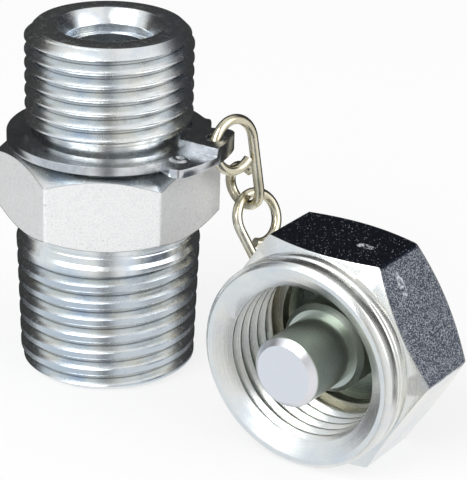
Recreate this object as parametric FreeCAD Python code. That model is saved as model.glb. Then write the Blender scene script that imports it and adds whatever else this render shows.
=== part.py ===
import FreeCAD, Part
import math
import os

# Test point coupling with its screw cap on a wire chain. Millimetres, +Z up.
# The origin is the middle of the port stud's end face, which stands on the ground.

Vector = FreeCAD.Vector
UP = Vector(0, 0, 1)

# Coupling body, turned from hexagon bar
stud_length = 11.3
stud_end_radius = 5.95
stud_gauge_radius = 6.58
stud_gauge_height = 6.3
stud_taper_slope = 1 / 32
stud_end_chamfer = 0.45
stud_neck_length = 1.3
stud_neck_radius = 6.45
hex_across_flats = 14.0
hex_height = 5.6
hex_edge_round = 0.35
hex_lower_face_radius = 6.95
hex_upper_face_radius = 6.45
hex_chamfer_angle = 30.0
spigot_length = 8.8
spigot_radius = 6.0
spigot_end_chamfer = 0.72
ring_groove_width = 1.85
ring_groove_radius = 5.1
groove_flank = 0.3

# Bores of the body
mouth_radius = 3.82
mouth_cone_depth = 1.0
mouth_step_radius = 3.07
mouth_step_depth = 0.6
test_bore_radius = 2.71
test_bore_depth = 8.3
stem_groove_width = 1.9
stem_groove_radius = 3.72
stem_groove_below_bore_mouth = 4.6
throat_radius = 1.75
throat_length = 1.9
valve_bore_radius = 3.3
snap_groove_height = 2.0
snap_groove_width = 0.7
snap_groove_radius = 3.75

# Valve inside the body
seat_gap = 0.08
poppet_radius = 2.75
poppet_cone_top_radius = 1.25
poppet_stem_radius = 1.2
poppet_stem_length = 2.7
poppet_land = 1.1
poppet_tail_radius = 1.25
poppet_tail_overrun = 0.06
poppet_end_chamfer = 0.3
poppet_seal_section = 0.42
poppet_seal_set_in = 0.3
spring_wire_radius = 0.25
spring_turns = 7
spring_steps = 12
spring_sides = 6
spring_radius = 2.15
spring_seat_thickness = 1.1
spring_seat_clearance = 0.05
spring_seat_hole_radius = 1.33
flow_hole_radius = 0.42
flow_hole_circle = 2.35
flow_hole_count = 6
snap_ring_section = 0.55
snap_ring_gap_angle = 60.0
seal_section_radius = 0.55
seal_clearance = 0.03
backup_ring_thickness = 0.6

# Retaining ring, a split washer with a lapped ear, loose in its groove
ring_thickness = 0.62
ring_clearance_below = 0.3
ring_hole_clearance = 0.62
ring_width = 1.58
ring_hole_shift = 0.22
ring_lap_cut_angle = -31.0
ring_lap_start_angle = 4.0
ring_ramp_end_angle = 26.0
ring_ramp_steps = 6
widest_wedge = 60.0
ear_hole_inset = 0.03
ear_margin = 1.05
ear_front_angle = -57.0
ear_back_angle = -5.0
ear_corner_round = 0.8
nearness = 0.05
ear_hole_radius = 0.77
ear_hole_angle = -19.0
clinch_radius = 0.78
clinch_top_radius = 0.55
clinch_dish_radius = 0.39
clinch_dish_root_radius = 0.16
clinch_height = 0.14
clinch_circle = 7.5
clinch_angle = -46.0

# Chain of wire links, each with a large and a small eye square to each other
wire_radius = 0.37
large_eye_radius = 1.85
small_eye_radius = 1.5
eye_spacing = 0.6
eye_end_gap = 0.05
eye_twist = 90.0
link_clearance = 0.06
first_link_rise = 0.47
first_link_azimuth = 44.0
first_link_lean = 9.0
first_link_lean_azimuth = -20.0
second_link_slide = 15.0
second_link_swing = -12.0

# Screw cap, lying on one flat
cap_mouth_x = 13.4
cap_mouth_y = -16.1
cap_azimuth = 56.0
cap_across_flats = 15.0
cap_length = 8.7
cap_edge_round = 0.25
collar_length = 2.3
collar_radius = 7.4
collar_groove_depth = 0.16
collar_groove_width = 0.3
rim_round = 0.35
rim_inner_radius = 6.75
entry_chamfer = 0.65
thread_bore_radius = 5.46
relief_radius = 6.12
relief_width = 0.9
inner_bore_radius = 5.2
inner_bore_length = 0.8
cap_back_thickness = 1.4
cap_rear_face_radius = 7.25
wall_hole_radius = 1.9

# Pin pressed through the cap, riveted behind the chain's last link
pin_reach = 1.3
pin_radius = 2.5
pin_tip_radius = 2.05
pin_root_depth = 3.4
boss_radius = 3.2
boss_chamfer = 0.35
journal_bore_gap = 0.08
rivet_head_radius = 2.45
rivet_head_height = 0.6
journal_side_gap = 0.08

# Heights and places that follow
hex_bottom = stud_length
hex_top = hex_bottom + hex_height
hex_middle = hex_bottom + hex_height / 2
body_top = hex_top + spigot_length
groove_top = hex_top + ring_groove_width
step_bottom = body_top - mouth_cone_depth - mouth_step_depth
test_bore_bottom = body_top - test_bore_depth
stem_groove_top = step_bottom - stem_groove_below_bore_mouth
stem_groove_bottom = stem_groove_top - stem_groove_width
seat_top = test_bore_bottom - throat_length
seat_drop = valve_bore_radius - throat_radius
snap_groove_top = snap_groove_height + snap_groove_width
spring_seat_bottom = snap_groove_top + spring_seat_clearance
spring_seat_top = spring_seat_bottom + spring_seat_thickness
ring_hole_radius = ring_groove_radius + ring_hole_clearance
ring_outer_radius = ring_hole_radius + ring_width
ear_hole_circle = hex_across_flats / math.sqrt(3) - ear_hole_inset
ear_radius = ear_hole_circle + ear_margin
ring_bottom = hex_top + ring_clearance_below
ring_top = ring_bottom + ring_thickness
lap_top = ring_top + ring_thickness
cap_axis_height = cap_across_flats / 2
cap_floor_depth = cap_length - cap_back_thickness
relief_end = cap_floor_depth - inner_bore_length
thread_depth = relief_end - relief_width
journal_radius = large_eye_radius - wire_radius - journal_bore_gap
cap_link_depth = cap_length + journal_side_gap + wire_radius
chamfer_slope = math.tan(math.radians(hex_chamfer_angle))


def polar(radius, angle, height=0.0):
    """Point at a radius and an angle in degrees about the body's axis."""
    turn = math.radians(angle)
    return Vector(radius * math.cos(turn), radius * math.sin(turn), height)


def turned(outline):
    """Solid of revolution about Z from a closed outline of (radius, height) points."""
    points = [Vector(radius, 0, height) for radius, height in outline]
    face = Part.Face(Part.makePolygon(points + points[:1]))
    return face.revolve(Vector(0, 0, 0), UP, 360)


def tube(outer, inner, low, high):
    """Plain ring between two radii and two heights."""
    return turned([(inner, low), (outer, low), (outer, high), (inner, high)])


def drilled(radius, low, high, at=Vector(0, 0, 0)):
    """Cylinder that cuts or fills a straight hole along Z."""
    return Part.makeCylinder(radius, high - low, Vector(at.x, at.y, low))


def chamfered_hexagon(across_flats, low, high, edge_round, low_radius, high_radius):
    """Hexagon bar with corners on +X and -X, its ends turned to a cone."""
    corner = across_flats / math.sqrt(3)
    corners = [polar(corner, 60 * step, low) for step in range(6)]
    prism = Part.Face(Part.makePolygon(corners + corners[:1])).extrude(UP * (high - low))
    uprights = [edge for edge in prism.Edges if abs(edge.Vertexes[0].Z - edge.Vertexes[1].Z) > (high - low) / 2]
    prism = prism.makeFillet(edge_round, uprights)
    low_cone = (corner - low_radius) * chamfer_slope
    high_cone = (corner - high_radius) * chamfer_slope
    cones = turned([(0, low), (low_radius, low), (corner, low + low_cone), (corner, high - high_cone),
                    (high_radius, high), (0, high)])
    return prism.common(cones)


def coupling_body():
    """Stud, hexagon and threaded spigot in one, with the bores cut through."""
    end_drop = (stud_gauge_height - stud_end_chamfer) * stud_taper_slope
    stud_low = stud_gauge_radius - end_drop
    thread_top = hex_bottom - stud_neck_length
    stud_high = stud_gauge_radius + (thread_top - stud_gauge_height) * stud_taper_slope
    stud = turned([(0, 0), (stud_end_radius, 0), (stud_low, stud_end_chamfer), (stud_high, thread_top - groove_flank),
                   (stud_neck_radius, thread_top), (stud_neck_radius, hex_middle), (0, hex_middle)])
    spigot = turned([(0, hex_middle), (ring_groove_radius, hex_middle),
                     (ring_groove_radius, groove_top - groove_flank), (spigot_radius, groove_top),
                     (spigot_radius, body_top - spigot_end_chamfer),
                     (spigot_radius - spigot_end_chamfer, body_top), (0, body_top)])
    hexagon = chamfered_hexagon(hex_across_flats, hex_bottom, hex_top, hex_edge_round,
                                hex_lower_face_radius, hex_upper_face_radius)
    outside = stud.fuse([hexagon, spigot])
    bore = turned([(0, 0), (valve_bore_radius, 0), (valve_bore_radius, snap_groove_height),
                   (snap_groove_radius, snap_groove_height), (snap_groove_radius, snap_groove_top),
                   (valve_bore_radius, snap_groove_top), (valve_bore_radius, seat_top - seat_drop),
                   (throat_radius, seat_top), (throat_radius, test_bore_bottom),
                   (test_bore_radius, test_bore_bottom), (test_bore_radius, stem_groove_bottom),
                   (stem_groove_radius, stem_groove_bottom), (stem_groove_radius, stem_groove_top),
                   (test_bore_radius, stem_groove_top), (test_bore_radius, step_bottom),
                   (mouth_step_radius, step_bottom), (mouth_step_radius, body_top - mouth_cone_depth),
                   (mouth_radius, body_top), (0, body_top)])
    return outside.cut(bore).removeSplitter()


def stem_seal():
    """Round seal at the lower side of its groove in the test bore."""
    middle = stem_groove_radius - seal_clearance - seal_section_radius
    height = stem_groove_bottom + seal_clearance + seal_section_radius
    return Part.makeTorus(middle, seal_section_radius, Vector(0, 0, height))


def backup_ring():
    """Flat ring above the stem seal, flush with the test bore."""
    low = stem_groove_top - seal_clearance - backup_ring_thickness
    inner = test_bore_radius + seal_clearance
    return tube(stem_groove_radius - seal_clearance, inner, low, low + backup_ring_thickness)


def poppet_cone_bottom():
    """Height where the poppet's cone starts, just clear of the body's seat."""
    lift = seat_gap * math.sqrt(2)
    return seat_top - (poppet_radius - throat_radius) - lift


def seal_place():
    """Radius and height of the middle of the poppet's seal, set into its cone."""
    radius = (poppet_radius + throat_radius) / 2
    on_cone = poppet_cone_bottom() + poppet_radius - radius
    inward = poppet_seal_set_in / math.sqrt(2)
    return radius - inward, on_cone - inward


def valve_poppet():
    """Valve cone with the stem that an adapter pushes and the tail that guides it."""
    cone_bottom = poppet_cone_bottom()
    cone_top = cone_bottom + poppet_radius - poppet_cone_top_radius
    tip = cone_top + poppet_stem_length
    land_bottom = cone_bottom - poppet_land
    tail_bottom = spring_seat_bottom - poppet_tail_overrun
    solid = turned([(0, tail_bottom), (poppet_tail_radius - poppet_end_chamfer, tail_bottom),
                    (poppet_tail_radius, tail_bottom + poppet_end_chamfer), (poppet_tail_radius, land_bottom),
                    (poppet_radius, land_bottom), (poppet_radius, cone_bottom),
                    (poppet_cone_top_radius, cone_top), (poppet_stem_radius, cone_top),
                    (poppet_stem_radius, tip - poppet_end_chamfer), (poppet_stem_radius - poppet_end_chamfer, tip),
                    (0, tip)])
    radius, height = seal_place()
    groove = Part.makeTorus(radius, poppet_seal_section + seal_clearance, Vector(0, 0, height))
    return solid.cut(groove)


def poppet_seal():
    """Round seal in the poppet's cone, short of the seat by its gap."""
    radius, height = seal_place()
    ring = Part.makeTorus(radius, poppet_seal_section, Vector(0, 0, height))
    cone_bottom = poppet_cone_bottom()
    reach = 2 * poppet_radius
    envelope = turned([(0, cone_bottom - reach), (reach, cone_bottom - reach),
                       (reach, cone_bottom + poppet_radius - reach), (0, cone_bottom + poppet_radius)])
    return ring.common(envelope)


def valve_spring():
    """Coil spring between the spring seat and the poppet's land."""
    low = spring_seat_top + spring_wire_radius + seat_gap
    high = poppet_cone_bottom() - poppet_land - spring_wire_radius - seat_gap
    rise = (high - low) / (spring_turns * spring_steps)
    sections = []
    for step in range(spring_turns * spring_steps + 1):
        turn = 360 / spring_steps * step
        outward = polar(1, turn)
        middle = outward * spring_radius + UP * (low + rise * step)
        ring = [middle + turned_about(outward, polar(1, turn + 90), 360 / spring_sides * side) * spring_wire_radius
                for side in range(spring_sides)]
        sections.append(Part.makePolygon(ring + ring[:1]))
    return Part.makeLoft(sections, True, True)


def spring_seat():
    """Perforated disc that carries the spring and guides the poppet's tail."""
    disc = tube(valve_bore_radius - spring_seat_clearance, spring_seat_hole_radius,
                spring_seat_bottom, spring_seat_top)
    for step in range(flow_hole_count):
        centre = polar(flow_hole_circle, 360 / flow_hole_count * step)
        disc = disc.cut(drilled(flow_hole_radius, spring_seat_bottom, spring_seat_top, centre))
    return disc


def snap_ring():
    """Round wire ring in the groove below the spring seat, open on one side."""
    low = snap_groove_height + spring_seat_clearance
    inner = snap_groove_radius - spring_seat_clearance - 2 * snap_ring_section
    ring = tube(snap_groove_radius - spring_seat_clearance, inner, low, low + snap_ring_section)
    reach = 2 * snap_groove_radius
    wedge = Part.makePolygon([Vector(0, 0, low), polar(reach, -snap_ring_gap_angle / 2, low),
                              polar(reach, snap_ring_gap_angle / 2, low), Vector(0, 0, low)])
    return ring.cut(Part.Face(wedge).extrude(UP * snap_ring_section))


def sector(inner_at, outer, low, high, start, end):
    """Flat piece of ring between two angles, its hole set off the axis."""
    reach = 2 * outer
    steps = math.ceil((end - start) / widest_wedge)
    rim = [polar(reach, start + (end - start) * step / steps, low) for step in range(steps + 1)]
    wedge = Part.Face(Part.makePolygon([Vector(0, 0, low)] + rim + [Vector(0, 0, low)])).extrude(UP * (high - low))
    disc = drilled(outer, low, high).cut(drilled(ring_hole_radius, low, high, inner_at))
    return disc.common(wedge)


def ramp_section(angle, low, inner_at):
    """Upright rectangle across the ring at one angle, with its lower side at a height."""
    along = polar(1, angle)
    offset = inner_at.dot(along)
    inner = offset + math.sqrt(ring_hole_radius ** 2 - inner_at.Length ** 2 + offset ** 2)
    corners = [along * inner + UP * low, along * ring_outer_radius + UP * low,
               along * ring_outer_radius + UP * (low + ring_thickness),
               along * inner + UP * (low + ring_thickness)]
    return Part.makePolygon(corners + corners[:1])


def retaining_ring():
    """Split washer: a flat turn, a ramp up at its rear end, and a lapped ear."""
    hole = Vector(ring_hole_shift, 0, 0)
    flat = sector(hole, ring_outer_radius, ring_bottom, ring_top, ring_ramp_end_angle,
                  360 + ring_lap_start_angle)
    sections = []
    for step in range(ring_ramp_steps + 1):
        share = step / ring_ramp_steps
        angle = ring_lap_start_angle + (ring_ramp_end_angle - ring_lap_start_angle) * share
        rise = ring_thickness * (1 + math.cos(math.pi * share)) / 2
        sections.append(ramp_section(angle, ring_bottom + rise, hole))
    ramp = Part.makeLoft(sections, True, False)
    lap = sector(hole, ring_outer_radius, ring_top, lap_top, ring_lap_cut_angle, ring_lap_start_angle)
    lower_ear = sector(hole, ear_radius, ring_bottom, ring_top, ear_front_angle, ear_back_angle)
    upper_ear = sector(hole, ear_radius, ring_top, lap_top, ring_lap_cut_angle, ear_back_angle)
    lower_ear = rounded_uprights(lower_ear, ear_corner_round, ear_radius)
    upper_ear = rounded_uprights(upper_ear, ear_corner_round, ear_radius, ear_back_angle)
    ring = flat.fuse([ramp, lap, lower_ear, upper_ear])
    boss_at = polar(clinch_circle, clinch_angle)
    boss = Part.makeCone(clinch_radius, clinch_top_radius, clinch_height, boss_at + UP * ring_top)
    dish = Part.makeCone(clinch_dish_root_radius, clinch_dish_radius, clinch_height, boss_at + UP * ring_top)
    ring = ring.fuse(boss.cut(dish))
    chain_hole = drilled(ear_hole_radius, ring_bottom, lap_top, polar(ear_hole_circle, ear_hole_angle))
    return ring.cut(chain_hole).removeSplitter()


def rounded_uprights(plate, radius, reach, only_angle=None):
    """Rounds a plate's upright edges that lie at its outer radius."""
    chosen = []
    for edge in plate.Edges:
        first, last = edge.Vertexes[0].Point, edge.Vertexes[-1].Point
        upright = abs(first.z - last.z) > ring_thickness / 2
        if not upright or math.hypot(first.x, first.y) < reach - nearness:
            continue
        angle = math.degrees(math.atan2(first.y, first.x))
        if only_angle is None or abs(angle - only_angle) < nearness:
            chosen.append(edge)
    return plate.makeFillet(radius, chosen)


def turned_about(vector, axis, angle):
    """Vector turned about an axis by an angle in degrees."""
    return FreeCAD.Rotation(axis, angle).multVec(vector)


def closing_angle(radius):
    """Angle of an eye left open, so that its cut end stops just short of the strand."""
    return math.degrees(math.acos((radius - wire_radius - eye_end_gap) / (radius + wire_radius)))


class Link:
    """One link: its large eye's middle, its direction down, and the way from its strand to the eye."""

    def __init__(self, centre, down, toward_eye, strand_length=large_eye_radius + small_eye_radius + eye_spacing):
        self.centre = centre
        self.down = Vector(down).normalize()
        self.to_large = (toward_eye - self.down * toward_eye.dot(self.down)).normalize()
        self.to_small = turned_about(self.to_large, self.down, eye_twist)
        self.strand_top = self.centre - self.to_large * large_eye_radius
        self.strand_bottom = self.strand_top + self.down * strand_length
        self.small_centre = self.strand_bottom + self.to_small * small_eye_radius

    def hang(self, slide, swing):
        """Next link: where it pulls on the small eye, and how far it swings about the wire there."""
        pull = turned_about(self.down, self.to_large, slide)
        tangent = turned_about(self.to_small, self.to_large, slide)
        wire = self.small_centre + pull * small_eye_radius
        down = turned_about(pull, tangent, swing)
        top_wire = wire - down * (2 * wire_radius + link_clearance)
        return Link(top_wire + down * large_eye_radius, down, down.cross(tangent))

    def large(self, angle):
        """Point of the large eye, counted in degrees from the strand over its top."""
        turn = math.radians(angle)
        level = self.to_large * (large_eye_radius * math.cos(turn))
        return self.centre - level - self.down * (large_eye_radius * math.sin(turn))

    def small(self, angle):
        """Point of the small eye, counted in degrees from the strand round its bottom."""
        turn = math.radians(angle)
        level = self.to_small * (small_eye_radius * math.cos(turn))
        return self.small_centre - level + self.down * (small_eye_radius * math.sin(turn))

    def solid(self):
        """Round wire swept along the large eye, the strand and the small eye."""
        last_large = 360 - closing_angle(large_eye_radius)
        last_small = 360 - closing_angle(small_eye_radius)
        edges = [Part.Arc(self.large(last_large), self.large(3 * last_large / 4), self.large(last_large / 2)),
                 Part.Arc(self.large(last_large / 2), self.large(last_large / 4), self.large(0)),
                 Part.LineSegment(self.strand_top, self.strand_bottom),
                 Part.Arc(self.small(0), self.small(last_small / 4), self.small(last_small / 2)),
                 Part.Arc(self.small(last_small / 2), self.small(3 * last_small / 4), self.small(last_small))]
        path = Part.Wire([edge.toShape() for edge in edges])
        first = path.Edges[0]
        circle = Part.Wire(Part.makeCircle(wire_radius, self.large(last_large), first.tangentAt(first.FirstParameter)))
        return path.makePipeShell([circle], True, False)


def first_link():
    """Link through the retaining ring's ear, its large eye round the ear's rim."""
    hole = polar(ear_hole_circle, ear_hole_angle, (ring_bottom + lap_top) / 2)
    lean = polar(math.tan(math.radians(first_link_lean)), first_link_lean_azimuth)
    link = Link(Vector(0, 0, 0), lean - UP, polar(-1, first_link_azimuth))
    at_hole = link.large(180 - math.degrees(math.asin(first_link_rise / large_eye_radius)))
    return Link(hole - at_hole, link.down, link.to_large)


def cap_placement():
    """Cap's own frame, mouth at its origin and Z toward its closed end, laid on one flat."""
    back = polar(1, cap_azimuth)
    level = polar(1, cap_azimuth - 90)
    rotation = FreeCAD.Rotation(level, UP * -1, back, "ZXY")
    return FreeCAD.Placement(Vector(cap_mouth_x, cap_mouth_y, cap_axis_height), rotation)


def cap_nut():
    """Hexagon cap with a turned collar, threaded bore, relief and floor."""
    hexagon = chamfered_hexagon(cap_across_flats, collar_length, cap_length, cap_edge_round,
                                collar_radius, cap_rear_face_radius)
    groove_low = collar_length / 2
    collar = turned([(0, 0), (collar_radius - rim_round, 0), (collar_radius, rim_round),
                     (collar_radius, groove_low), (collar_radius - collar_groove_depth, groove_low),
                     (collar_radius - collar_groove_depth, groove_low + collar_groove_width),
                     (collar_radius, groove_low + collar_groove_width), (collar_radius, collar_length),
                     (0, collar_length)])
    entry_radius = rim_inner_radius - entry_chamfer
    thread_start = entry_chamfer + (entry_radius - thread_bore_radius) * chamfer_slope
    hollow = turned([(0, 0), (rim_inner_radius, 0), (entry_radius, entry_chamfer),
                     (thread_bore_radius, thread_start), (thread_bore_radius, thread_depth),
                     (relief_radius, thread_depth), (relief_radius, relief_end),
                     (inner_bore_radius, relief_end), (inner_bore_radius, cap_floor_depth),
                     (0, cap_floor_depth)])
    wall_hole = drilled(wall_hole_radius, cap_floor_depth, cap_length)
    return collar.fuse(hexagon).cut(hollow).cut(wall_hole).removeSplitter()


def cap_pin():
    """Pin with a flat tip and a boss, pressed through the cap and riveted over."""
    head_low = cap_link_depth + wire_radius + journal_side_gap
    head_top = head_low + rivet_head_height
    tip_bevel = pin_radius - pin_tip_radius
    return turned([(0, -pin_reach), (pin_tip_radius, -pin_reach), (pin_radius, tip_bevel - pin_reach),
                   (pin_radius, pin_root_depth), (boss_radius - boss_chamfer, pin_root_depth),
                   (boss_radius, pin_root_depth + boss_chamfer), (boss_radius, cap_floor_depth),
                   (wall_hole_radius, cap_floor_depth), (wall_hole_radius, cap_length),
                   (journal_radius, cap_length), (journal_radius, head_low),
                   (rivet_head_radius, head_low), (rivet_head_radius, head_low + rivet_head_height / 3),
                   (journal_radius, head_top), (0, head_top)])


def cap_link(placement, upper):
    """Longer link turned about the pin's neck, reaching to the small eye of the link above."""
    back = placement.Rotation.multVec(UP)
    centre = placement.multVec(UP * cap_link_depth)
    reach = upper.small_centre - centre
    reach = reach - back * reach.dot(back)
    eyes_apart = 2 * small_eye_radius - 2 * wire_radius - link_clearance
    strand_length = math.sqrt(reach.Length ** 2 - large_eye_radius ** 2) - eyes_apart
    bend = math.degrees(math.asin(large_eye_radius / reach.Length))
    down = turned_about(Vector(reach).normalize(), back, bend)
    return Link(centre, down, back.cross(down), strand_length)


def placed(solid, placement):
    """Copy of a solid moved from its own frame to its place."""
    copy = solid.copy()
    copy.Placement = placement
    return copy


def build():
    """Every piece by its node's name."""
    cap_frame = cap_placement()
    upper = first_link()
    lower = upper.hang(second_link_slide, second_link_swing)
    return {
        "coupling_body": coupling_body(),
        "stem_seal": stem_seal(),
        "backup_ring": backup_ring(),
        "valve_poppet": valve_poppet(),
        "poppet_seal": poppet_seal(),
        "valve_spring": valve_spring(),
        "spring_seat": spring_seat(),
        "snap_ring": snap_ring(),
        "retaining_ring": retaining_ring(),
        "chain_link_1": upper.solid(),
        "chain_link_2": lower.solid(),
        "cap_nut": placed(cap_nut(), cap_frame),
        "cap_pin": placed(cap_pin(), cap_frame),
        "cap_link": cap_link(cap_frame, lower).solid(),
    }


os.makedirs("parts", exist_ok=True)
for node, shape in build().items():
    shape.exportStep("parts/" + node + ".step")
    print(node, "valid", shape.isValid(), "solids", len(shape.Solids), "volume", round(shape.Volume, 2))
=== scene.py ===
import math
import bpy
from mathutils import Matrix, Vector


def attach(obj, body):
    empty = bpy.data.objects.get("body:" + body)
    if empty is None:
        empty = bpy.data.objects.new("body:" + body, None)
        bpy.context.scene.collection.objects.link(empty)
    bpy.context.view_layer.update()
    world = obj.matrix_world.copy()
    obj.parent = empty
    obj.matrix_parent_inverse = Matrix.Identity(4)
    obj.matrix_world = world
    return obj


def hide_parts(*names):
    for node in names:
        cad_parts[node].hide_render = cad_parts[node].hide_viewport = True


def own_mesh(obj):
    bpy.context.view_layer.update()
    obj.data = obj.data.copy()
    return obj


# Test point coupling, standing on its stud, with its screw cap beside it on a wire chain.
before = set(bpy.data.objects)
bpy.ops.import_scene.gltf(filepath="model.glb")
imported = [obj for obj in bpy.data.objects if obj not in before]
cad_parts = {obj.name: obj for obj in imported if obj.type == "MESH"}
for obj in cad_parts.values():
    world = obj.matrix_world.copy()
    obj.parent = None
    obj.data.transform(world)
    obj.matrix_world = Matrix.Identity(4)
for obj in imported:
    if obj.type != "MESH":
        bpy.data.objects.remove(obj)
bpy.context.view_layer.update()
bpy.ops.object.select_all(action="DESELECT")
mm = 0.001
stepsPerTurn = 96                     # sides of every turned surface and thread
edgeEase = 0.05                       # small rounding of turned edges, mm
hexSlope = math.tan(math.radians(30)) # cone turned on both ends of a hexagon
finishes = {}                         # the material of each slot


class Value:                          # wraps a socket, so that shader maths reads as maths
    def __init__(self, tree, socket):
        self.tree = tree
        self.socket = socket

    def add(self, kind, settings=None, output=0, **inputs):
        node = self.tree.nodes.new("ShaderNode" + kind)
        for name, setting in (settings or {}).items():
            if name == "stops":
                while len(node.color_ramp.elements) < len(setting):
                    node.color_ramp.elements.new(0.5)
                for element, (position, colour) in zip(node.color_ramp.elements, setting):
                    element.position = position
                    element.color = (*colour, 1)
            else:
                setattr(node, name, setting)
        for name, value in inputs.items():
            key = int(name[1:]) if name[0] == "i" and name[1:].isdigit() else name.replace("_", " ")
            if isinstance(value, Value):
                self.tree.links.new(value.socket, node.inputs[key])
            else:
                node.inputs[key].default_value = value
        return Value(self.tree, node.outputs[output])

    def maths(self, operation, *values):
        return self.add("Math", {"operation": operation}, **{"i%d" % k: v for k, v in enumerate(values)})

    def __add__(self, other):
        return self.maths("ADD", self, other)

    def __radd__(self, other):
        return self.maths("ADD", other, self)

    def __sub__(self, other):
        return self.maths("SUBTRACT", self, other)

    def __rsub__(self, other):
        return self.maths("SUBTRACT", other, self)

    def __mul__(self, other):
        return self.maths("MULTIPLY", self, other)

    def __rmul__(self, other):
        return self.maths("MULTIPLY", other, self)

    def __truediv__(self, other):
        return self.maths("DIVIDE", self, other)

    def __abs__(self):
        return self.maths("ABSOLUTE", self)

    def root(self):
        return self.maths("SQRT", self)

    def larger(self, other):
        return self.maths("MAXIMUM", self, other)

    def angle(self, other):           # of the point (other, self), in radians
        return self.maths("ARCTAN2", self, other)

    def step(self, low, high):        # 0 below low, 1 above high, smooth between
        return self.add("MapRange", {"interpolation_type": "SMOOTHSTEP"}, i0=self, i1=low, i2=high)

    def within(self, rise, fall):     # 1 between two such steps
        return self.step(*rise) * (1 - self.step(*fall))

    def noise(self, scale, detail, roughness):
        return self.add("TexNoise", Vector=self, Scale=scale, Detail=detail, Roughness=roughness)

    def ramp(self, stops):
        return self.add("ValToRGB", {"stops": stops}, i0=self)

    def parts(self):
        return [self.add("SeparateXYZ", output=k, i0=self) for k in range(3)]

    def mixed(self, first, second):   # colours mixed by this value
        return self.add("Mix", {"data_type": "RGBA"}, output=2, i0=self, i6=first, i7=second)


def newMaterial(name):
    material = bpy.data.materials.new(name)
    material.use_nodes = True
    material.node_tree.nodes.clear()
    return material, Value(material.node_tree, None)


def localCoords(start, place=(0, 0, 0), turn=None):    # object coordinates in mm, in a piece's own frame
    turn = turn or Matrix.Identity(3)
    back = turn.transposed()
    return start.add("Mapping", Vector=start.add("TexCoord", output=3),
                     Location=tuple(back @ Vector(place) * -1), Rotation=tuple(back.to_euler()),
                     Scale=(1 / mm, 1 / mm, 1 / mm))


def turnedMarks(coords):              # fine rings about the piece's own axis
    x, y, z = coords.parts()
    radius = (x * x + y * y).root()
    rings = coords.add("CombineXYZ", X=radius * 3, Y=z * 3, Z=y.angle(x) * 0.25)
    return radius, z, rings


def finishSurface(material, start, colour, roughness, height, bump, metallic=1.0):
    normal = start.add("Bump", Height=height, Strength=bump, Distance=mm)
    surface = start.add("BsdfPrincipled", Base_Color=colour, Roughness=roughness, Metallic=metallic,
                        Normal=normal)
    output = material.node_tree.nodes.new("ShaderNodeOutputMaterial")
    material.node_tree.links.new(surface.socket, output.inputs["Surface"])
    return material


def plainSteel(name, tint, roughness, bump):
    material, start = newMaterial(name)
    coords = localCoords(start)
    grain = coords.noise(scale=8.0, detail=4.0, roughness=0.65)
    cloud = coords.noise(scale=0.7, detail=3.0, roughness=0.6)
    darker = tuple(part * 0.75 for part in tint)
    colour = cloud.ramp([(0.35, darker), (0.65, tint)])
    return finishSurface(material, start, colour, roughness + 0.15 * grain, grain, bump)


def softMaterial(name, tint, roughness):
    material, start = newMaterial(name)
    coords = localCoords(start)
    grain = coords.noise(scale=12.0, detail=3.0, roughness=0.6)
    darker = tuple(part * 0.7 for part in tint)
    colour = grain.ramp([(0.3, darker), (0.7, tint)])
    return finishSurface(material, start, colour, roughness + 0.1 * grain, grain, bump=0.05, metallic=0.0)


def selectOnly(piece):
    bpy.ops.object.select_all(action="DESELECT")
    piece.select_set(True)
    bpy.context.view_layer.objects.active = piece


def useModifier(piece, kind, **settings):
    selectOnly(piece)
    bpy.ops.object.modifier_add(type=kind)
    modifier = piece.modifiers[-1]
    for name, setting in settings.items():
        setattr(modifier, name, setting)
    bpy.ops.object.modifier_apply(modifier=modifier.name)


def easeEdges(piece, width, segments, fromAngle):      # width in mm, on edges sharper than fromAngle degrees
    useModifier(piece, "BEVEL", width=width * mm, segments=segments, limit_method="ANGLE",
                angle_limit=math.radians(fromAngle))


def combine(piece, operation, other):
    useModifier(piece, "BOOLEAN", operation=operation, solver="EXACT", object=other)
    bpy.data.objects.remove(other)


def copiedNode(name, nodeName):       # a CAD node's shape as one clean mesh
    piece = bpy.data.objects.new(name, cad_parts[nodeName].data.copy())
    bpy.context.scene.collection.objects.link(piece)
    selectOnly(piece)
    bpy.ops.object.mode_set(mode="EDIT")
    bpy.ops.mesh.select_all(action="SELECT")
    bpy.ops.mesh.remove_doubles(threshold=0.002 * mm)
    bpy.ops.mesh.dissolve_limited(angle_limit=math.radians(0.6))
    bpy.ops.object.mode_set(mode="OBJECT")
    return piece


def turnedPiece(name, outline, ease=edgeEase):    # a ring extruded round a closed outline of (radius, height)
    bpy.ops.mesh.primitive_circle_add(vertices=stepsPerTurn, radius=outline[0][0] * mm, fill_type="NOTHING")
    piece = bpy.context.object
    piece.name = name
    bpy.ops.object.mode_set(mode="EDIT")
    bpy.ops.mesh.select_all(action="SELECT")
    bpy.ops.transform.translate(value=(0, 0, outline[0][1] * mm))
    for (radius, height), (nextRadius, nextHeight) in zip(outline, outline[1:] + outline[:1]):
        bpy.ops.mesh.extrude_region_move(TRANSFORM_OT_translate={"value": (0, 0, (nextHeight - height) * mm)})
        wider = nextRadius / radius
        bpy.ops.transform.resize(value=(wider, wider, 1), center_override=(0, 0, nextHeight * mm))
    bpy.ops.mesh.select_all(action="SELECT")
    bpy.ops.mesh.remove_doubles(threshold=0.001 * mm)
    bpy.ops.mesh.normals_make_consistent(inside=False)
    bpy.ops.object.mode_set(mode="OBJECT")
    if ease:
        easeEdges(piece, ease, segments=2, fromAngle=25)
    return piece


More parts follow.
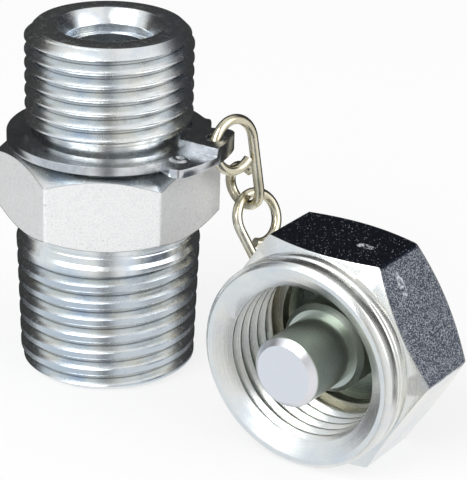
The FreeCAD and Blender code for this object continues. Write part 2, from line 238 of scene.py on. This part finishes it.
def hexRing(name, size, inside):      # hexagon bar round an inner outline, its ends turned to cones
    corner = size["acrossFlats"] / math.sqrt(3)
    low, high = size["hexLow"], size["hexHigh"]
    bpy.ops.mesh.primitive_cylinder_add(vertices=6, radius=corner * mm, depth=(high - low + corner) * mm,
                                        location=(0, 0, (low + high) / 2 * mm),
                                        rotation=(0, 0, math.radians(30)))
    bar = bpy.context.object
    bar.name = name
    bpy.ops.object.transform_apply(location=True, rotation=True, scale=True)
    easeEdges(bar, size["cornerEase"], segments=3, fromAngle=40)
    wide = corner * 1.1               # clear of the corners
    cones = turnedPiece("cones", [
        (size["lowFace"], low), (wide, low + (wide - size["lowFace"]) * hexSlope),
        (wide, high - (wide - size["highFace"]) * hexSlope), (size["highFace"], high), *inside], ease=0)
    combine(bar, "INTERSECT", cones)
    return bar


def threadCutter(thread, out):        # one groove of V section wound round Z, cut inward (-1) or outward (1)
    half = math.tan(math.radians(thread["halfAngle"]))
    ease, root = thread["crestEase"], thread["rootFlat"] / 2
    wide = root + (thread["depth"] - ease) * half
    flare = ease * 1.2                # widening of the groove's mouth, which rounds the crests
    section = [(thread["depth"], root), (ease, wide), (0, wide + flare), (-ease, wide + 2 * flare)]
    section = [(thread["radius"] + out * reach, rise) for reach, rise in section]
    section += [(radius, -rise) for radius, rise in reversed(section)]
    grooveAtLeft = thread["leftCrest"] + thread["pitch"] / 2
    start = thread["low"] + (grooveAtLeft - thread["low"]) % thread["pitch"]
    bpy.ops.mesh.primitive_circle_add(vertices=len(section), fill_type="NOTHING")
    cutter = bpy.context.object
    for vertex, (radius, rise) in zip(cutter.data.vertices, section):
        vertex.co = (-radius * mm, 0, (start + rise) * mm)
    turns = thread["turns"]
    steps = int(stepsPerTurn * turns)
    useModifier(cutter, "SCREW", axis="Z", angle=2 * math.pi * turns, iterations=1, steps=steps,
                render_steps=steps, screw_offset=thread["pitch"] * turns * mm)
    bpy.ops.object.mode_set(mode="EDIT")
    bpy.ops.mesh.select_all(action="DESELECT")
    bpy.ops.mesh.select_non_manifold()
    bpy.ops.mesh.fill_holes(sides=0)
    bpy.ops.mesh.select_all(action="SELECT")
    bpy.ops.mesh.normals_make_consistent(inside=False)
    bpy.ops.object.mode_set(mode="OBJECT")
    return cutter


def finishPiece(piece, body, nodeName, slotName, smooth=32):
    selectOnly(piece)
    bpy.ops.object.mode_set(mode="EDIT")
    bpy.ops.mesh.select_all(action="SELECT")
    bpy.ops.mesh.remove_doubles(threshold=0.0005 * mm)
    bpy.ops.object.mode_set(mode="OBJECT")
    bpy.ops.object.shade_smooth_by_angle(angle=math.radians(smooth))
    useModifier(piece, "WEIGHTED_NORMAL", keep_sharp=True, weight=50)
    piece.data.materials.clear()
    piece.data.materials.append(finishes[slotName])
    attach(piece, body)
    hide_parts(nodeName)


print("coupling body")
coupling = {                          # radii, and heights from the stud's end, mm
    "height": 25.7,
    "footRadius": 5.95, "studLow": 0.45, "studLowRadius": 6.397, "studHigh": 9.7, "studHighRadius": 6.681,
    "collarLow": 10.0, "collarRadius": 6.45, "lineLow": 10.5, "lineHigh": 10.78, "lineDepth": 0.07,
    "lineSlope": 0.06, "neckLow": 12.0, "neckHigh": 18.45, "neckRadius": 5.1,
    "spigotLow": 18.75, "spigotHigh": 24.98, "faceRadius": 5.28, "mouthRadius": 3.82,
    "recessHigh": 24.7, "recessLow": 24.1, "recessRadius": 3.07, "boreRadius": 2.71, "boreLow": 17.4,
    "sealHigh": 19.5, "sealLow": 17.6, "sealRadius": 3.72, "seatRadius": 1.75, "seatLow": 15.5,
    "portRadius": 3.3, "portHigh": 13.95, "snapHigh": 2.7, "snapLow": 2.0, "snapRadius": 3.75,
    "hexHole": 4.4,                   # of the hexagon's ring, buried in the body's wall
}
upperThread = {                       # M12x1 on the spigot; leftCrest is the height of one crest at -X
    "radius": 6.0, "pitch": 1.0, "depth": 0.613, "halfAngle": 30.0, "rootFlat": 0.12,
    "crestEase": 0.045, "low": 17.7, "turns": 9, "leftCrest": 23.9,
}
studThread = {                        # R 1/4 taper thread, fading out below the hexagon
    "radius": 6.58, "pitch": 1.337, "depth": 0.64, "halfAngle": 27.5, "rootFlat": 0.16,
    "crestEase": 0.07, "low": -1.4, "turns": 8.2, "leftCrest": 7.93,
    "gaugeHeight": 6.3, "taper": 1 / 32, "runOutFrom": 9.0, "runOutLength": 1.4,
}
bodyHex = {                           # mm, heights from the stud's end
    "acrossFlats": 14.0, "hexLow": 11.3, "hexHigh": 16.9, "lowFace": 6.95, "highFace": 6.45,
    "cornerEase": 0.2,
}
zinc = {                              # linear colours, and pairs of mm where a mark begins and is full
    "plating": [(0.32, (0.62, 0.68, 0.76)), (0.5, (0.76, 0.79, 0.8)), (0.68, (0.78, 0.78, 0.74))],
    # the blue-grey crest colour is a painted reflection of the room below; the dark colour after it is a
    # painted shade in the thread roots
    "dulled": (0.5, 0.56, 0.57, 1), "crestReflection": (0.48, 0.54, 0.6, 1), "root": (0.12, 0.14, 0.16, 1),
    "drawn": (0.88, 0.88, 0.88, 1), "drawnGrain": (0.58, 0.61, 0.62, 1), "pit": (0.2, 0.21, 0.2, 1),
    "hexSide": (6.92, 6.98), "coneEdge": (0.02, 0.08), "flankDepth": (0.03, 0.1), "rootDepth": (0.5, 0.6),
    "studSide": (5.5, 5.6), "studTop": (9.0, 9.6), "spigotSide": (5.2, 5.3), "spigotRoot": (5.42, 5.5),
    "spigotLow": (18.8, 18.9), "spigotHigh": (25.0, 25.1), "roughness": 0.16, "bump": 0.05,
}


def zincMaterial(name, look):
    material, start = newMaterial(name)
    coords = localCoords(start)
    radius, height, rings = turnedMarks(coords)
    topCone = bodyHex["hexHigh"] - (radius - bodyHex["highFace"]) * hexSlope
    lowCone = bodyHex["hexLow"] + (radius - bodyHex["lowFace"]) * hexSlope
    betweenCones = (topCone - height).step(*look["coneEdge"]) * (height - lowCone).step(*look["coneEdge"])
    onHex = radius.step(*look["hexSide"]) * betweenCones
    fine = rings.noise(scale=6.0, detail=4.0, roughness=0.7)
    clouds = coords.noise(scale=0.35, detail=4.0, roughness=0.6)
    patches = coords.noise(scale=1.6, detail=3.0, roughness=0.55)
    grains = coords.noise(scale=7.0, detail=3.0, roughness=0.6)
    dull = patches.step(0.5, 0.75)
    turned = (dull * 0.25).mixed(clouds.ramp(look["plating"]), look["dulled"])
    studCrest = studThread["radius"] + (height - studThread["gaugeHeight"]) * studThread["taper"]
    below = studCrest - radius        # depth into the stud's thread
    onStud = (1 - height.step(*look["studTop"])) * radius.step(*look["studSide"])
    onSpigot = height.within(look["spigotLow"], look["spigotHigh"]) * radius.step(*look["spigotSide"])
    # painted reflection of the room below, blue-grey on the stud's crests
    turned = ((1 - below.step(*look["flankDepth"])) * onStud * 0.8).mixed(turned, look["crestReflection"])
    # painted shade, darkest in the roots of both threads
    rootShade = below.step(*look["rootDepth"]) * onStud + (1 - radius.step(*look["spigotRoot"])) * onSpigot
    turned = (rootShade * 0.45).mixed(turned, look["root"])
    pits = (grains + clouds * 0.3).step(0.8, 0.88) * onHex
    worn = grains.step(0.42, 0.62) * 0.35 + patches.step(0.5, 0.7) * 0.15
    drawn = (pits * 0.6).mixed(worn.mixed(look["drawn"], look["drawnGrain"]), look["pit"])
    colour = onHex.mixed(turned, drawn)
    roughness = look["roughness"] + 0.12 * fine + 0.1 * dull + 0.2 * onHex
    relief = fine * 0.6 * (1 - onHex) + grains * 0.5 * onHex
    return finishSurface(material, start, colour, roughness, relief, look["bump"], metallic=1 - onHex * 0.6)


def bodyOutline(b, spigotRadius):     # (radius, height), up the outside and down through the bores
    lineRadius = b["collarRadius"] - b["lineDepth"]
    return [
        (b["footRadius"], 0), (b["studLowRadius"], b["studLow"]), (b["studHighRadius"], b["studHigh"]),
        (b["collarRadius"], b["collarLow"]), (b["collarRadius"], b["lineLow"]),
        (lineRadius, b["lineLow"] + b["lineSlope"]), (lineRadius, b["lineHigh"] - b["lineSlope"]),
        (b["collarRadius"], b["lineHigh"]), (b["collarRadius"], b["neckLow"]),
        (b["neckRadius"], b["neckLow"]), (b["neckRadius"], b["neckHigh"]),
        (spigotRadius, b["spigotLow"]), (spigotRadius, b["spigotHigh"]), (b["faceRadius"], b["height"]),
        (b["mouthRadius"], b["height"]), (b["recessRadius"], b["recessHigh"]),
        (b["recessRadius"], b["recessLow"]), (b["boreRadius"], b["recessLow"]),
        (b["boreRadius"], b["sealHigh"]), (b["sealRadius"], b["sealHigh"]), (b["sealRadius"], b["sealLow"]),
        (b["boreRadius"], b["sealLow"]), (b["boreRadius"], b["boreLow"]), (b["seatRadius"], b["boreLow"]),
        (b["seatRadius"], b["seatLow"]), (b["portRadius"], b["portHigh"]), (b["portRadius"], b["snapHigh"]),
        (b["snapRadius"], b["snapHigh"]), (b["snapRadius"], b["snapLow"]), (b["portRadius"], b["snapLow"]),
        (b["portRadius"], 0),
    ]


def taperedCutter(thread):            # follows the taper, and fades out toward the neck
    cutter = threadCutter(thread, -1)
    for vertex in cutter.data.vertices:
        height = vertex.co.z / mm
        lift = (height - thread["gaugeHeight"]) * thread["taper"]
        lift += max(0, height - thread["runOutFrom"]) / thread["runOutLength"] * thread["depth"]
        vertex.co.xy *= 1 + lift / thread["radius"]
    return cutter


finishes["zinc_plated_steel"] = zincMaterial("brightZinc", zinc)
couplingShell = turnedPiece("couplingShell", bodyOutline(coupling, upperThread["radius"]))
combine(couplingShell, "DIFFERENCE", taperedCutter(studThread))
combine(couplingShell, "DIFFERENCE", threadCutter(upperThread, -1))
hexInside = [(coupling["hexHole"], bodyHex["hexHigh"]), (coupling["hexHole"], bodyHex["hexLow"])]
combine(couplingShell, "UNION", hexRing("bodyHexagon", bodyHex, hexInside))
finishPiece(couplingShell, "coupling", "coupling_body", "zinc_plated_steel")

print("cap")
cap = {                               # radii, and depths from the cap's mouth, mm and degrees
    "mouth": (13.4, -16.1, 7.5), "azimuth": 56.0,
    "lipRadius": 6.75, "rimRadius": 7.05, "collarRadius": 7.4, "rimDepth": 0.35,
    "lineLow": 1.15, "lineHigh": 1.55, "lineDepth": 0.16, "lineSlope": 0.1,
    "skinRadius": 6.9, "skinLow": 2.6, "skinHigh": 8.2,   # lies inside the hexagon bar
    "pinHole": 1.9, "floor": 7.3, "boreRadius": 5.2, "shoulder": 6.5, "reliefRadius": 6.12, "reliefLow": 5.6,
    "threadFrom": 0.7, "leadRadius": 6.1, "leadDepth": 0.38,
    "hexHole": 1.95, "hexRecess": 8.0, "hexRecessRadius": 6.5,
}
innerThread = {                       # M12x1, depths from the cap's mouth
    "radius": 5.46, "pitch": 1.0, "depth": 0.6, "halfAngle": 30.0, "rootFlat": 0.12,
    "crestEase": 0.05, "low": 0.1, "turns": 5.6, "leftCrest": 0.75,
}
capHex = {                            # mm, depths from the cap's mouth
    "acrossFlats": 15.0, "hexLow": 2.3, "hexHigh": 8.7, "lowFace": 7.4, "highFace": 7.25,
    "cornerEase": 0.14,
}
speckle = {                           # linear colours, and pairs of mm where a mark begins and is full
    "plating": [(0.3, (0.68, 0.71, 0.74)), (0.6, (0.8, 0.8, 0.76))],
    # the two dark colours are painted reflections of the dark room, on the faces that lie up and darkest on
    # the top face; the pale dot colour is that of the painted glints and of the rubbed marks
    "darkReflection": (0.11, 0.13, 0.175, 1), "darkTopReflection": (0.025, 0.03, 0.05, 1), "dot": (0.75, 0.79, 0.84, 1),
    "hexSide": (7.42, 7.46), "coneEdge": (0.04, 0.1), "upperSide": (0.7, 1.0), "topFlat": (7.2, 7.4),
    "topOval": ((1.85, 5.33), (0.75, 0.4)), "frontOval": ((-2.5, 4.55), (1.1, 0.4)),   # centre, half size
    # the three colours inside the cap are painted: shade on the relief groove and bore, darker shade on the
    # floor, and a highlight on the shoulder's edge
    "stainAndShade": (0.34, 0.33, 0.24, 1), "floorShade": (0.25, 0.3, 0.26, 1),
    "shoulderHighlight": (0.85, 0.83, 0.74, 1),
    "insideFrom": (5.4, 5.7), "insideTo": (7.7, 7.9), "insideRadius": (6.2, 6.4),
    "shoulderFrom": (6.4, 6.46), "shoulderTo": (6.54, 6.6), "shoulderRadius": (5.2, 5.3),
    "floorFrom": (7.2, 7.28), "floorRadius": (5.1, 5.18), "roughness": 0.2, "bump": 0.06,
}
capAxis = Vector((math.cos(math.radians(cap["azimuth"])), math.sin(math.radians(cap["azimuth"])), 0))
capLevel = Vector((capAxis.y, -capAxis.x, 0))
capTurn = Matrix((capLevel, capAxis.cross(capLevel), capAxis)).transposed()


def ovalMark(first, second, oval, worn):    # a worn oval dent, 1 where the plating is rubbed bright
    centre, half = oval
    first, second = (first - centre[0]) / half[0], (second - centre[1]) / half[1]
    reach = (first * first + second * second).root()
    return (1 - reach.step(0.7, 1.05)) * worn.step(0.36, 0.6) * 0.9


# the cap's zinc: plating, with a painted dark reflection and painted glints on the faces that lie up, and
# painted shade inside
def speckledMaterial(name, look):
    material, start = newMaterial(name)
    coords = localCoords(start, cap["mouth"], capTurn)
    across, down = coords.parts()[:2]
    radius, along, rings = turnedMarks(coords)
    fine = rings.noise(scale=6.0, detail=4.0, roughness=0.7)
    grains = coords.noise(scale=9.5, detail=2.0, roughness=0.6)
    coarse = coords.noise(scale=1.6, detail=3.0, roughness=0.6)
    fromDot, dotColour = [coords.add("TexVoronoi", output=k, Vector=coords, Scale=7.5) for k in range(2)]
    frontCone = capHex["hexLow"] + (radius - capHex["lowFace"]) * hexSlope
    backCone = capHex["hexHigh"] - (radius - capHex["highFace"]) * hexSlope
    betweenCones = (along - frontCone).step(*look["coneEdge"]) * (backCone - along).step(*look["coneEdge"])
    onHex = betweenCones * radius.step(*look["hexSide"])
    upper = 1 - (down + coarse * 1.2).step(*look["upperSide"])
    upFacing = onHex * upper            # the hex faces that lie up: grainy plating, with a painted dark reflection and painted glints
    onTop = (0 - down).step(*look["topFlat"])
    # painted glints: white dots, sparse on the top face and dense on the other faces that lie up
    chance = dotColour.parts()[0] + coarse * 0.5 - onTop * 0.3
    sparse = (1 - fromDot.step(0.1, 0.36)) * chance.step(0.45, 0.95)
    dense = (grains + coarse * 0.15).step(0.54, 0.7) * 0.55
    dots = (onTop * sparse + (1 - onTop) * dense.larger(sparse)) * upFacing
    slanted = across * math.sin(math.radians(30)) + down * math.cos(math.radians(30))    # on the front flat
    worn = coords.noise(scale=4.5, detail=2.0, roughness=0.6)
    topMark = ovalMark(across, along, look["topOval"], worn) * onTop
    frontMark = ovalMark(slanted, along, look["frontOval"], worn) * (1 - onTop)
    # the painted glints, together with the rubbed oval marks
    glintsAndWear = dots.larger((topMark + frontMark) * upFacing)
    plain = coords.noise(scale=0.3, detail=3.0, roughness=0.6)
    # painted reflection: the faces that lie up are painted dark blue, near black on the top face, mirroring
    # the dark room behind
    darkReflection = upFacing.mixed(plain.ramp(look["plating"]), onTop.mixed(look["darkReflection"], look["darkTopReflection"]))
    inside = (1 - radius.step(*look["insideRadius"])) * along.within(look["insideFrom"], look["insideTo"])
    shoulder = along.within(look["shoulderFrom"], look["shoulderTo"]) * radius.step(*look["shoulderRadius"])
    floor = (1 - radius.step(*look["floorRadius"])) * along.step(*look["floorFrom"])
    # painted shade deep inside the cap, with a painted highlight on the shoulder's edge
    stainAndShade = shoulder.mixed(floor.mixed(look["stainAndShade"], look["floorShade"]), look["shoulderHighlight"])
    colour = glintsAndWear.mixed((inside * 0.9).mixed(darkReflection, stainAndShade), look["dot"])
    roughness = look["roughness"] + 0.12 * fine + 0.12 * upFacing
    relief = fine * 0.5 * (1 - onHex) + grains * upFacing
    return finishSurface(material, start, colour, roughness, relief, look["bump"], metallic=1 - glintsAndWear * 0.8)


def capOutline(c, collarTop, threadRadius):    # (radius, depth), up the collar and back through the bore
    lineRadius = c["collarRadius"] - c["lineDepth"]
    return [
        (c["lipRadius"], 0), (c["rimRadius"], 0), (c["collarRadius"], c["rimDepth"]),
        (c["collarRadius"], c["lineLow"]), (lineRadius, c["lineLow"] + c["lineSlope"]),
        (lineRadius, c["lineHigh"] - c["lineSlope"]), (c["collarRadius"], c["lineHigh"]),
        (c["collarRadius"], collarTop), (c["skinRadius"], c["skinLow"]), (c["skinRadius"], c["skinHigh"]),
        (c["pinHole"], c["skinHigh"]), (c["pinHole"], c["floor"]), (c["boreRadius"], c["floor"]),
        (c["boreRadius"], c["shoulder"]), (c["reliefRadius"], c["shoulder"]),
        (c["reliefRadius"], c["reliefLow"]), (threadRadius, c["reliefLow"]),
        (threadRadius, c["threadFrom"]), (c["leadRadius"], c["leadDepth"]),
    ]


finishes["speckled_zinc"] = speckledMaterial("speckledZinc", speckle)
capShell = turnedPiece("capShell", capOutline(cap, capHex["hexLow"], innerThread["radius"]))
hexInside = [(cap["hexHole"], capHex["hexHigh"]), (cap["hexHole"], cap["hexRecess"]),
             (cap["hexRecessRadius"], cap["hexRecess"]), (cap["hexRecessRadius"], capHex["hexLow"])]
combine(capShell, "UNION", hexRing("capHexagon", capHex, hexInside))
combine(capShell, "DIFFERENCE", threadCutter(innerThread, 1))
capShell.matrix_world = Matrix.Translation(Vector(cap["mouth"]) * mm) @ capTurn.to_4x4()
selectOnly(capShell)
bpy.ops.object.transform_apply(location=True, rotation=True, scale=True)
finishPiece(capShell, "cap", "cap_nut", "speckled_zinc")

print("ring")
ring = {"edgeEase": 0.07, "tint": (0.66, 0.68, 0.7), "roughness": 0.12, "bump": 0.03}
finishes["ring_steel"] = plainSteel("ringZinc", ring["tint"], ring["roughness"], ring["bump"])
ringPiece = copiedNode("lappedRing", "retaining_ring")
easeEdges(ringPiece, ring["edgeEase"], segments=2, fromAngle=40)
finishPiece(ringPiece, "ring", "retaining_ring", "ring_steel", smooth=40)

print("spring")
spring = {                            # travel is how far the poppet presses it together, mm
    "travel": 1.8, "tint": (0.5, 0.5, 0.5), "roughness": 0.25, "bump": 0.02,
}
finishes["spring_steel"] = plainSteel("springWire", spring["tint"], spring["roughness"], spring["bump"])
springPiece = copiedNode("closingSpring", "valve_spring")
finishPiece(springPiece, "coupling", "valve_spring", "spring_steel", smooth=70)
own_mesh(springPiece)

print("chain, pin and valve")
chain = {                             # stops from stained to clean wire
    "wire": [(0.3, (0.5, 0.46, 0.34)), (0.5, (0.62, 0.58, 0.45)), (0.72, (0.74, 0.7, 0.58))], "bump": 0.01,
}
pin = {                               # bright tip, side painted darker inside the cap as a painted reflection of the dark inside; pairs in mm
    "bright": (0.78, 0.78, 0.81, 1), "insideReflection": (0.46, 0.5, 0.45, 1),
    "side": (2.4, 2.49), "darkTo": (8.0, 8.6), "bump": 0.02,
}


def wireMaterial(name, look):
    material, start = newMaterial(name)
    coords = localCoords(start)
    drawn = coords.noise(scale=5.0, detail=4.0, roughness=0.6)
    stainAndShade = coords.noise(scale=0.5, detail=2.0, roughness=0.5)
    return finishSurface(material, start, stainAndShade.ramp(look["wire"]), 0.16 + 0.1 * drawn, drawn, look["bump"])


def pinMaterial(name, look):
    material, start = newMaterial(name)
    coords = localCoords(start, cap["mouth"], capTurn)
    radius, along, rings = turnedMarks(coords)
    fine = rings.noise(scale=5.0, detail=3.0, roughness=0.6)
    # painted reflection: the pin's side is painted darker and greener inside the cap
    side = radius.step(*look["side"]) * (1 - along.step(*look["darkTo"]))
    colour = side.mixed(look["bright"], look["insideReflection"])
    return finishSurface(material, start, colour, 0.24 + 0.1 * fine, fine, look["bump"])


finishes["chain_wire"] = wireMaterial("chainNickel", chain)
finishes["pin_steel"] = pinMaterial("pinZinc", pin)
finishes["valve_steel"] = plainSteel("valveSteel", tint=(0.6, 0.6, 0.61), roughness=0.22, bump=0.02)
finishes["seal_rubber"] = softMaterial("sealRubber", tint=(0.025, 0.025, 0.028), roughness=0.5)
finishes["backup_plastic"] = softMaterial("backupPlastic", tint=(0.85, 0.85, 0.82), roughness=0.4)
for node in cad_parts.values():
    for slot in node.material_slots:
        slot.material = finishes.get(slot.material.name.split(".")[0], slot.material)

print("stage")
studio = {                            # a white tent; pairs are where a part begins and is full, in radians
    "floorSize": 4, "floorTint": (0.85, 0.85, 0.85, 1), "floorGlow": 0.75,    # size in metres
    "gapAt": 0.03, "gapEdge": (0.08, 0.24), "gapShade": 0.7,             # slit between the front sheets
    "backFrom": (1.66, 1.9), "backShade": 0.96,                          # dark room behind the object
    "backLow": (-0.56, -0.46), "backHigh": (0.6, 0.85),                  # heights of a unit direction
    "leftFrom": (0.3, 0.55), "leftTo": (1.5, 1.75), "leftTint": (0.86, 0.91, 0.96, 1),
    "fill": 0.6,
}
lamps = [                             # name, place and size in mm, power in watts
    ("keyLight", (-260, -330, 420), 420, 2.2),
    ("fillLight", (420, -200, 260), 380, 1.0),
]
lampTarget = (9, -6, 10)              # mm, about the middle of the object
camera = {
    "place": (9.12, -146.4, 74.96),   # mm
    "downTilt": 24.1,                 # degrees below level
    "roll": 1.82,
    "lens": 169.6, "sensor": 36, "clipStart": 0.01,
}

bpy.ops.mesh.primitive_plane_add(size=studio["floorSize"])
floor = bpy.context.object
floor.name = "floor"
floor.visible_glossy = False
floorMaterial, start = newMaterial("paleFloor")
lightPath = floorMaterial.node_tree.nodes.new("ShaderNodeLightPath")
seen = Value(floorMaterial.node_tree, lightPath.outputs["Is Camera Ray"])
lit = start.add("BsdfDiffuse", Color=studio["floorTint"])
white = start.add("Emission", Color=(1, 1, 1, 1), Strength=1.0)
blend = start.add("MixShader", i0=seen * studio["floorGlow"], i1=lit, i2=white)
output = floorMaterial.node_tree.nodes.new("ShaderNodeOutputMaterial")
floorMaterial.node_tree.links.new(blend.socket, output.inputs["Surface"])
floor.data.materials.append(floorMaterial)

world = bpy.data.worlds.new("studio")
bpy.context.scene.world = world
world.use_nodes = True
world.node_tree.nodes.clear()
start = Value(world.node_tree, None)
lightPath = world.node_tree.nodes.new("ShaderNodeLightPath")
seen = Value(world.node_tree, lightPath.outputs["Is Camera Ray"])
glossy = Value(world.node_tree, lightPath.outputs["Is Glossy Ray"])
x, y, z = start.add("TexCoord").parts()
around = x.angle(y * -1)              # 0 toward the front
gap = 1 - abs(around - studio["gapAt"]).step(*studio["gapEdge"])
back = abs(around).step(*studio["backFrom"]) * z.within(studio["backLow"], studio["backHigh"])
tent = (1 - studio["backShade"] * back) * (1 - studio["gapShade"] * gap)
left = (0 - around).within(studio["leftFrom"], studio["leftTo"])
tint = (glossy * left).mixed((1, 1, 1, 1), studio["leftTint"])
strength = seen + (1 - seen) * (glossy * tent + (1 - glossy) * studio["fill"])
background = start.add("Background", Color=tint, Strength=strength)
output = world.node_tree.nodes.new("ShaderNodeOutputWorld")
world.node_tree.links.new(background.socket, output.inputs["Surface"])

for name, place, size, power in lamps:
    bpy.ops.object.light_add(type="AREA", location=Vector(place) * mm)
    light = bpy.context.object
    light.name = name
    light.data.size = size * mm
    light.data.energy = power
    light.rotation_euler = (Vector(lampTarget) - Vector(place)).to_track_quat("-Z", "Y").to_euler()

cameraData = bpy.data.cameras.new("camera")
cameraData.sensor_fit = "HORIZONTAL"
cameraData.sensor_width = camera["sensor"]
cameraData.lens = camera["lens"]
cameraData.clip_start = camera["clipStart"]
cameraObject = bpy.data.objects.new("camera", cameraData)
bpy.context.scene.collection.objects.link(cameraObject)
cameraObject.matrix_world = (Matrix.Translation(Vector(camera["place"]) * mm)
                             @ Matrix.Rotation(math.radians(90 - camera["downTilt"]), 4, "X")
                             @ Matrix.Rotation(math.radians(camera["roll"]), 4, "Z"))
bpy.context.scene.camera = cameraObject
bpy.context.scene.view_settings.view_transform = "Standard"
